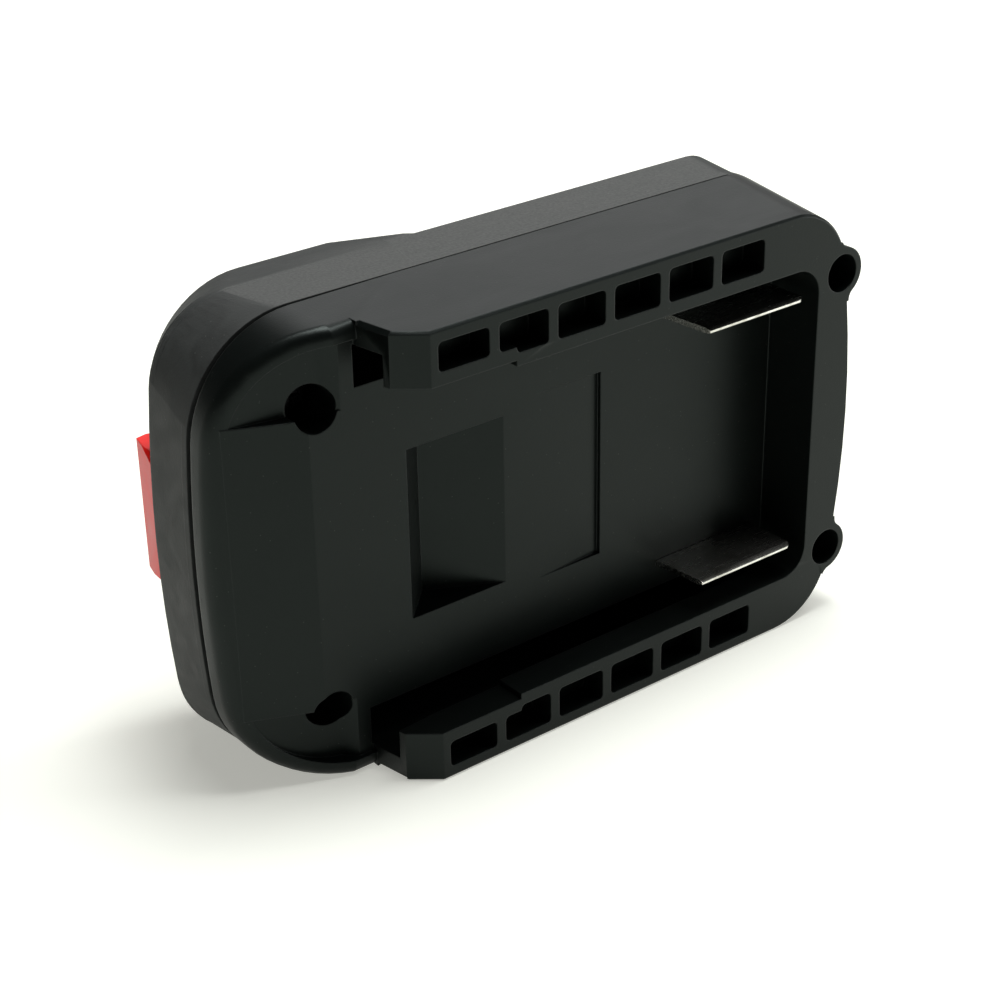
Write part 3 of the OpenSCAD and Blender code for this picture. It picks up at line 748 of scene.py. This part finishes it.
def tube(
    name: str, path: Sequence[Vector], radii: Sequence[float], sides: int = 14
) -> bpy.types.Object:
    """Round bar along a path, closed at both ends, with its own radius at each point.

    Args:
        name: name of the new piece.
        path: points along the middle, in metres.
        radii: radius at each point, in metres.
        sides: points round the bar.

    Returns:
        The new piece, linked to the scene.
    """
    mesh = bmesh.new()
    rings: list[Points] = []
    turns = [2 * math.pi * k / sides for k in range(sides)]
    across = Vector((0.0, 0.0, 1.0))
    for i, point in enumerate(path):
        heading = (path[min(i + 1, len(path) - 1)] - path[max(i - 1, 0)]).normalized()
        across = (across - heading * across.dot(heading)).normalized()
        other = heading.cross(across)
        spokes = (math.cos(a) * across + math.sin(a) * other for a in turns)
        rings.append([mesh.verts.new(point + radii[i] * spoke) for spoke in spokes])
    for ring, following in zip(rings, rings[1:]):
        for k in range(sides):
            mesh.faces.new((ring[k], following[k], following[(k + 1) % sides], ring[(k + 1) % sides]))
    mesh.faces.new(rings[0])
    mesh.faces.new(list(reversed(rings[-1])))
    return new_piece(name, mesh)


def bridge(mesh: bmesh.types.BMesh, rows: Sequence[Points]) -> None:
    """Lays faces between neighbouring rows of points.

    Args:
        mesh: the mesh that holds them.
        rows: rows of the same length.
    """
    for row, following in zip(rows, rows[1:]):
        for k in range(len(row) - 1):
            mesh.faces.new((row[k], row[k + 1], following[k + 1], following[k]))


def new_piece(name: str, mesh: bmesh.types.BMesh) -> bpy.types.Object:
    """Turns a finished bmesh into a smooth shaded piece in the scene.

    Args:
        name: name of the new piece.
        mesh: its geometry, freed here.

    Returns:
        The new piece.
    """
    bmesh.ops.recalc_face_normals(mesh, faces=mesh.faces[:])
    data = bpy.data.meshes.new(name)
    mesh.to_mesh(data)
    mesh.free()
    for polygon in data.polygons:
        polygon.use_smooth = True
    piece = bpy.data.objects.new(name, data)
    bpy.context.scene.collection.objects.link(piece)
    return piece


def flowing(points: Sequence[Vector], steps: int) -> list[Vector]:
    """Smooth curve through points.

    Args:
        points: points on the curve.
        steps: new points for each stretch.

    Returns:
        Points along the curve, both ends included.
    """
    curve: list[Vector] = []
    for i in range(len(points) - 1):
        near = (i - 1, i, i + 1, i + 2)
        before, a, b, after = (points[min(max(j, 0), len(points) - 1)] for j in near)
        for k in range(steps):
            t = k / steps
            curve.append(
                0.5
                * (
                    2 * a
                    + (b - before) * t
                    + (2 * before - 5 * a + 4 * b - after) * t * t
                    + (3 * a - before - 3 * b + after) * t * t * t
                )
            )
    return [*curve, points[-1].copy()]


@dataclass
class SubAssembly:
    """Pieces that are made, finished and fitted together.

    Args:
        nodes: pieces of the construction model by name.
    """

    nodes: Mapping[str, bpy.types.Object]

    def build(self) -> None:
        """Makes the pieces that scene.py adds; most sub-assemblies have none."""

    def dress(self) -> None:
        """Gives the sub-assembly's pieces their finishes and edges."""
        raise NotImplementedError

    def finish_node(self, name: str, slot: Slot, edge: EdgeBreak) -> None:
        """Puts a finish and softened edges on a piece of the construction model.

        Args:
            name: name of the piece.
            slot: its material slot.
            edge: how its edges are softened.
        """
        piece = self.nodes[name]
        material = FINISHES[slot].material()
        for holder in piece.material_slots:
            holder.material = material
        edge.put_on(piece)
        log.info("%s: %s", name, material.name)

    def fit(self, piece: bpy.types.Object, slot: Slot, body: Body) -> None:
        """Puts a finish on a piece made here and fits it to a body.

        Args:
            piece: the new piece.
            slot: its material slot.
            body: the body that carries it.
        """
        material = FINISHES[slot].material()
        piece.data.materials.append(material)
        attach(piece, body.value)
        log.info("%s: %s, on the %s", piece.name, material.name, body.value)


@dataclass
class BatterySide(SubAssembly):
    """Front shell that the battery slides into, with its moulding marks.

    Args:
        bow_mm: radius of the bowed latch end.
        end_x_mm: latch end of the shell.
        witness_y_mm: where the mould's parting line runs.
        witness_w_mm: width of that line.
        witness_spans_mm: stretches of it that show, along z.
        gate_z_mm: ends of the trimmed gate, along z.
        witness_sway_mm: how far that line strays to either side.
        witness_tip: least width of its faded ends, squared, as a share of its width.
        gate_deep_mm: how far the trimmed gate bites towards the front.
        gate_w_mm: width of the gate's mark at its tips and how much it gains in the middle.
        gate_rises: heights across the gate's mark, as shares of proud_mm.
        proud_mm: height of the marks above the wall.
    """

    bow_mm: float = 260.0
    end_x_mm: float = -61.45
    witness_y_mm: float = -4.4
    witness_w_mm: float = 0.11
    witness_spans_mm: tuple[tuple[float, float], ...] = ((52.4, 61.0), (33.6, 36.5))
    gate_z_mm: tuple[float, float] = (47.5, 51.2)
    witness_sway_mm: float = 0.02
    witness_tip: float = 0.02
    gate_deep_mm: float = 0.42
    gate_w_mm: tuple[float, float] = (0.03, 0.2)
    gate_rises: tuple[float, ...] = (0.2, 1.0, 0.9, 0.2)
    proud_mm: float = 0.012

    def on_wall(self, y: float, z: float, proud: float) -> Vector:
        """A point on the bowed latch end wall, in metres.

        Args:
            y: place along the depth, in millimetres.
            z: place up the wall, in millimetres.
            proud: height above the wall, in millimetres.
        """
        rise = z - MIDDLE_Z_MM
        fall = self.bow_mm - math.sqrt(self.bow_mm**2 - rise**2)
        return mm(self.end_x_mm + fall - proud, y, z)

    def build(self) -> None:
        """Makes the parting line and the trimmed gate on the latch end wall."""
        for i, (low, high) in enumerate(self.witness_spans_mm):
            line = self.strip(f"parting_line_{i + 1}", low, high)
            self.fit(line, Slot.SHELL, Body.HOUSING)
        self.fit(self.gate(), Slot.SHELL, Body.HOUSING)

    def strip(self, name: str, low: float, high: float, steps: int = 24) -> bpy.types.Object:
        """Thin flash line that fades at both ends.

        Args:
            name: name of the new piece.
            low: lower end, in millimetres.
            high: upper end, in millimetres.
            steps: points along it.

        Returns:
            The new piece.
        """
        mesh = bmesh.new()
        rows: list[Points] = []
        for i in range(steps + 1):
            share = i / steps
            half = self.witness_w_mm / 2 * math.sqrt(max(self.witness_tip, math.sin(math.pi * share)))
            z = low + (high - low) * share
            y = self.witness_y_mm + self.witness_sway_mm * math.sin(9 * share)
            across = (self.on_wall(y + k * half, z, self.proud_mm * (1 - abs(k))) for k in (-1, 0, 1))
            rows.append([mesh.verts.new(point) for point in across])
        bridge(mesh, rows)
        return new_piece(name, mesh)

    def gate(self, steps: int = 20) -> bpy.types.Object:
        """Crescent left where the gate was trimmed.

        Args:
            steps: points along it.

        Returns:
            The new piece.
        """
        low, high = self.gate_z_mm
        mesh = bmesh.new()
        rows: list[Points] = []
        tip, gain = self.gate_w_mm
        for i in range(steps + 1):
            share = i / steps
            swell = math.sin(math.pi * share)
            z = low + (high - low) * share
            front = self.witness_y_mm - self.gate_deep_mm * swell
            step = (gain * swell**2 + tip) / (len(self.gate_rises) - 1)
            across = (
                self.on_wall(front + step * k, z, self.proud_mm * rise)
                for k, rise in enumerate(self.gate_rises)
            )
            rows.append([mesh.verts.new(point) for point in across])
        bridge(mesh, rows)
        return new_piece("trimmed_gate", mesh)

    def dress(self) -> None:
        """Black grained nylon with lightly rounded mould edges."""
        self.finish_node("battery_side_shell", Slot.SHELL, EdgeBreak(0.25))


@dataclass
class ToolSide(SubAssembly):
    """Back shell and the rail block that the tool slides onto."""

    def dress(self) -> None:
        """Coarser grained nylon; the rail block's screws are plated steel."""
        self.finish_node("tool_side_shell", Slot.TOOL_SIDE, EdgeBreak(0.35))
        self.finish_node("tool_rail_block", Slot.TOOL_SIDE, EdgeBreak(0.3))
        self.finish_node("rail_block_screws", Slot.SCREW, EdgeBreak(0.0))


@dataclass
class Latch(SubAssembly):
    """Release button, hook and the two springs behind them.

    Args:
        spring_at_mm: x of the springs and their distance from the middle plane.
        seat_y_mm: where the springs rest on the shell.
        rise_mm: length of a spring at rest.
        travel_mm: how far the button presses the springs together; not used.
        coil_r_mm: mean radius of a coil.
        wire_mm: wire diameter.
        curls: number of curls.
        steps: points for each curl.
        seat_gap_mm: gap left at each end of a spring.
        tip: thickness of the wire's cut ends, as a share of the wire.
        tip_steps: points over which a cut end gains its full thickness.
    """

    spring_at_mm: tuple[float, float] = (-34.45, 5.0)
    seat_y_mm: float = -8.75
    rise_mm: float = 10.6
    travel_mm: float = 4.0
    coil_r_mm: float = 2.4
    wire_mm: float = 0.7
    curls: int = 5
    steps: int = 28
    seat_gap_mm: float = 0.02
    tip: float = 0.75
    tip_steps: int = 2

    def build(self) -> None:
        """Winds the two springs."""
        for side in Side:
            self.wind(side)

    def wind(self, side: Side) -> None:
        """Winds one spring as a single drawn wire.

        Args:
            side: which of the two springs.
        """
        x, off = self.spring_at_mm
        z = MIDDLE_Z_MM + side.value * off
        count = self.curls * self.steps
        half = self.wire_mm / 2
        start = self.seat_y_mm + half + self.seat_gap_mm
        run = self.rise_mm - self.wire_mm - 2 * self.seat_gap_mm
        path: list[Vector] = []
        radii: list[float] = []
        for i in range(count + 1):
            turn = 2 * math.pi * i / self.steps
            out, up = self.coil_r_mm * math.cos(turn), self.coil_r_mm * math.sin(turn)
            path.append(mm(x + out, start + run * i / count, z - up))
            gained = (1 - self.tip) * min(i, count - i) / self.tip_steps
            radii.append(half * MM * min(1.0, self.tip + gained))
        name = f"latch_spring_{side.name.lower()}"
        wire = tube(f"{name}_wire", path, radii)
        self.fit(wire, Slot.SPRING, Body.HOUSING)
        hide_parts(name)
        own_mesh(wire)

    def dress(self) -> None:
        """Satin red button on an acetal hook."""
        self.finish_node("release_button", Slot.BUTTON, EdgeBreak(0.35, 3))
        self.finish_node("latch_hook", Slot.LATCH, EdgeBreak(0.3))


@dataclass
class BatteryBlades(SubAssembly):
    """Two blades that plug into the battery, with the carrier behind the floor."""

    def dress(self) -> None:
        """Tinned strip in a plain nylon carrier."""
        for side in Side:
            self.finish_node(f"blade_{side.name.lower()}", Slot.BLADE, EdgeBreak(0.08))
        self.finish_node("blade_carrier", Slot.CARRIER, EdgeBreak(0.2))
        self.finish_node("blade_carrier_screws", Slot.SCREW, EdgeBreak(0.0))


@dataclass
class ToolContacts(SubAssembly):
    """Two clips that grip the tool's blades, with their carrier."""

    def dress(self) -> None:
        """Bronze clips in a plain nylon carrier."""
        for side in Side:
            self.finish_node(f"contact_clip_{side.name.lower()}", Slot.CLIP, EdgeBreak(0.08))
        self.finish_node("contact_carrier", Slot.CARRIER, EdgeBreak(0.2))
        self.finish_node("contact_carrier_screws", Slot.SCREW, EdgeBreak(0.0))


@dataclass
class Wiring(SubAssembly):
    """Insulated leads from the blades to the tool contacts.

    Args:
        route_mm: middle of the upper lead from blade to clip, with z from the middle plane.
        sleeve_r_mm: radius of the insulation.
        strand_r_mm: radius of one strand.
        strands: strands round the middle one.
        bare_mm: length stripped at each end.
        tuck_mm: how far the strands reach into the insulation.
        twist: turns of the strands over that length.
        trim: radius of the cut insulation, as a share of the whole.
    """

    route_mm: tuple[tuple[float, float, float], ...] = (
        (38.55, -6.55, 22.15),
        (31.55, -6.55, 22.15),
        (27.55, -6.25, 21.85),
        (24.15, -5.15, 20.6),
        (21.95, -3.15, 18.4),
        (21.55, -0.75, 15.8),
        (22.95, 1.65, 13.6),
        (25.75, 3.65, 12.2),
        (29.55, 4.75, 11.65),
        (33.55, 4.95, 11.65),
        (40.55, 4.95, 11.65),
    )
    sleeve_r_mm: float = 1.3
    strand_r_mm: float = 0.3
    strands: int = 6
    bare_mm: float = 2.6
    tuck_mm: float = 0.4
    twist: float = 0.5
    trim: float = 0.9

    def build(self) -> None:
        """Lays both leads with their stripped and soldered ends."""
        for side in Side:
            slot = Slot.LEAD_RED if side is Side.UPPER else Slot.LEAD_BLACK
            self.lay(side, slot)

    def lay(self, side: Side, slot: Slot) -> None:
        """Lays one lead: sleeve over the route, twisted strands at both ends.

        Args:
            side: which of the two leads.
            slot: its insulation.
        """
        route = flowing([mm(x, y, MIDDLE_Z_MM + side.value * z) for x, y, z in self.route_mm], steps=6)
        name = f"lead_{side.name.lower()}"
        bare = self.bare_mm * MM
        covered = [p for p in route if (p - route[0]).length > bare and (p - route[-1]).length > bare]
        radii = [self.sleeve_r_mm * MM] * len(covered)
        radii[0] = radii[-1] = self.trim * self.sleeve_r_mm * MM
        sleeve = tube(f"{name}_sleeve", covered, radii, sides=20)
        self.fit(sleeve, slot, Body.HOUSING)
        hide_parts(name)
        for end, inner, word in ((route[0], covered[0], "blade"), (route[-1], covered[-1], "clip")):
            self.fit(self.strand_end(f"{name}_{word}_strands", inner, end), Slot.SPRING, Body.HOUSING)

    def strand_end(self, name: str, inner: Vector, end: Vector, steps: int = 10) -> bpy.types.Object:
        """Tinned strands twisted round a middle one.

        Args:
            name: name of the new piece.
            inner: where the strands leave the sleeve.
            end: their tip.
            steps: points along a strand.

        Returns:
            All strands of the end as one piece.
        """
        start = inner + (inner - end).normalized() * self.tuck_mm * MM
        run = end - start
        heading = run.normalized()
        across = heading.cross(Vector((0.0, 0.0, 1.0))).normalized()
        other = heading.cross(across)
        radius = self.strand_r_mm * MM
        made: list[bpy.types.Object] = []
        for k in range(self.strands + 1):
            ring = 0.0 if k == self.strands else 2 * radius
            path = []
            for i in range(steps + 1):
                turn = 2 * math.pi * (k / self.strands + self.twist * i / steps)
                offset = ring * (math.cos(turn) * across + math.sin(turn) * other)
                path.append(start + run * (i / steps) + offset)
            made.append(tube(f"{name}_{k}", path, [radius] * (steps + 1), sides=8))
        joined = bmesh.new()
        for strand in made:
            joined.from_mesh(strand.data)
            bpy.data.objects.remove(strand)
        return new_piece(name, joined)

    def dress(self) -> None:
        """The leads are made here, so nothing of the construction model is left to dress."""


@dataclass
class ShellScrews(SubAssembly):
    """The four screws that hold the shells together."""

    def dress(self) -> None:
        """Black zinc, dark at the bottom of the counterbores."""
        self.finish_node("shell_screws", Slot.SCREW, EdgeBreak(0.0))


@dataclass(frozen=True)
class SoftBox:
    """A square studio lamp behind a diffuser.

    Args:
        name: name of the lamp.
        place: where it hangs, in metres.
        aim: what it points at, in metres.
        size: length of a side, in metres.
        watts: its power.
    """

    name: str
    place: tuple[float, float, float]
    aim: tuple[float, float, float]
    size: float
    watts: float

    def hang(self) -> bpy.types.Object:
        """Adds the lamp to the scene."""
        lamp = bpy.data.lights.new(self.name, "AREA")
        lamp.shape = "SQUARE"
        lamp.size = self.size
        lamp.energy = self.watts
        holder = bpy.data.objects.new(self.name, lamp)
        holder.location = self.place
        beam = Vector(self.aim) - Vector(self.place)
        holder.rotation_euler = beam.to_track_quat("-Z", "Y").to_euler()
        bpy.context.scene.collection.objects.link(holder)
        log.info("%s: %.1f W", self.name, self.watts)
        return holder


@dataclass
class Studio:
    """White paper floor, soft light and the photo's camera.

    Args:
        eye: where the camera stands, in metres.
        ahead: direction it looks in.
        upward: direction of the top of the picture.
        lens_mm: focal length.
        sensor_mm: width of the sensor.
        sight: nearest and farthest distance the camera shows, in metres.
        ambient: strength of the light from all round.
        floor_half: half the width of the floor, in metres.
        lamps: the studio lamps.
        paper: finish of the floor.
    """

    eye: tuple[float, float, float] = (-0.19995, -0.26095, 0.2028)
    ahead: tuple[float, float, float] = (0.54135, 0.70230, -0.46230)
    upward: tuple[float, float, float] = (0.29616, 0.35532, 0.88659)
    lens_mm: float = 76.59
    sensor_mm: float = 36.0
    sight: Span = (0.01, 20.0)
    ambient: float = 0.05
    floor_half: float = 8.0
    lamps: tuple[SoftBox, ...] = (
        SoftBox("backdrop_panel", (0.58, 0.76, 0.62), (0.0, 0.0, 0.05), 0.75, 2.2),
        SoftBox("side_panel", (0.6, -0.3, 0.16), (0.0, 0.0, 0.03), 0.4, 1.7),
        SoftBox("edge_strip", (0.49, -0.05, 0.76), (0.0, 0.0, 0.04), 0.15, 0.9),
        SoftBox("overhead_right", (0.25, -0.08, 0.85), (0.05, 0.0, 0.0), 0.4, 2.6),
        SoftBox("overhead_softbox", (0.1, 0.05, 0.9), (0.03, 0.0, 0.0), 0.35, 5.7),
    )
    paper: Finish = StudioPaper(
        "seamless paper, matt white", tone=linear("eceee8"), lift=0.39, lift_tone=linear("fffff6")
    )

    def build(self) -> None:
        """Lays the floor, hangs the lamps and places the camera."""
        self.lay_floor()
        self.fill_room()
        for lamp in self.lamps:
            lamp.hang()
        self.place_camera()
        bpy.context.scene.view_settings.view_transform = "Standard"

    def lay_floor(self) -> None:
        """Lays the paper under the adapter."""
        mesh = bmesh.new()
        bmesh.ops.create_grid(mesh, x_segments=8, y_segments=8, size=self.floor_half)
        floor = new_piece("paper_floor", mesh)
        floor.data.materials.append(self.paper.material())
        log.info("paper_floor: %s", self.paper.name)

    def fill_room(self) -> None:
        """Faint even light from the room; the floor fills the picture, so its walls aren't seen."""
        world = bpy.data.worlds.new("dim_room")
        world.use_nodes = True
        world.node_tree.nodes.clear()
        for row in (
            NodeRow(
                "room", "ShaderNodeBackground", {"Color": linear("ffffff"), "Strength": self.ambient}
            ),
            NodeRow("output", "ShaderNodeOutputWorld", {}, {"Surface": "room.Background"}),
        ):
            add_node(world.node_tree, row)
        bpy.context.scene.world = world

    def place_camera(self) -> None:
        """Puts the camera where the photo was taken from."""
        camera = bpy.data.cameras.new("photo_camera")
        camera.sensor_width = self.sensor_mm
        camera.lens = self.lens_mm
        camera.clip_start, camera.clip_end = self.sight
        back = -Vector(self.ahead).normalized()
        right = Vector(self.upward).cross(back).normalized()
        up = back.cross(right)
        holder = bpy.data.objects.new("photo_camera", camera)
        turn = Matrix((right, up, back)).transposed().to_4x4()
        holder.matrix_world = Matrix.Translation(Vector(self.eye)) @ turn
        bpy.context.scene.collection.objects.link(holder)
        bpy.context.scene.camera = holder


def main() -> None:
    """Dresses the construction model and sets up the studio."""
    logging.basicConfig(level=logging.INFO, format="%(name)s: %(message)s")
    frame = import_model()
    nodes = frame["nodes"]
    for assembly in (
        BatterySide(nodes),
        ToolSide(nodes),
        Latch(nodes),
        BatteryBlades(nodes),
        ToolContacts(nodes),
        Wiring(nodes),
        ShellScrews(nodes),
    ):
        assembly.build()
        assembly.dress()
    Studio().build()


if __name__ == "__main__":
    main()
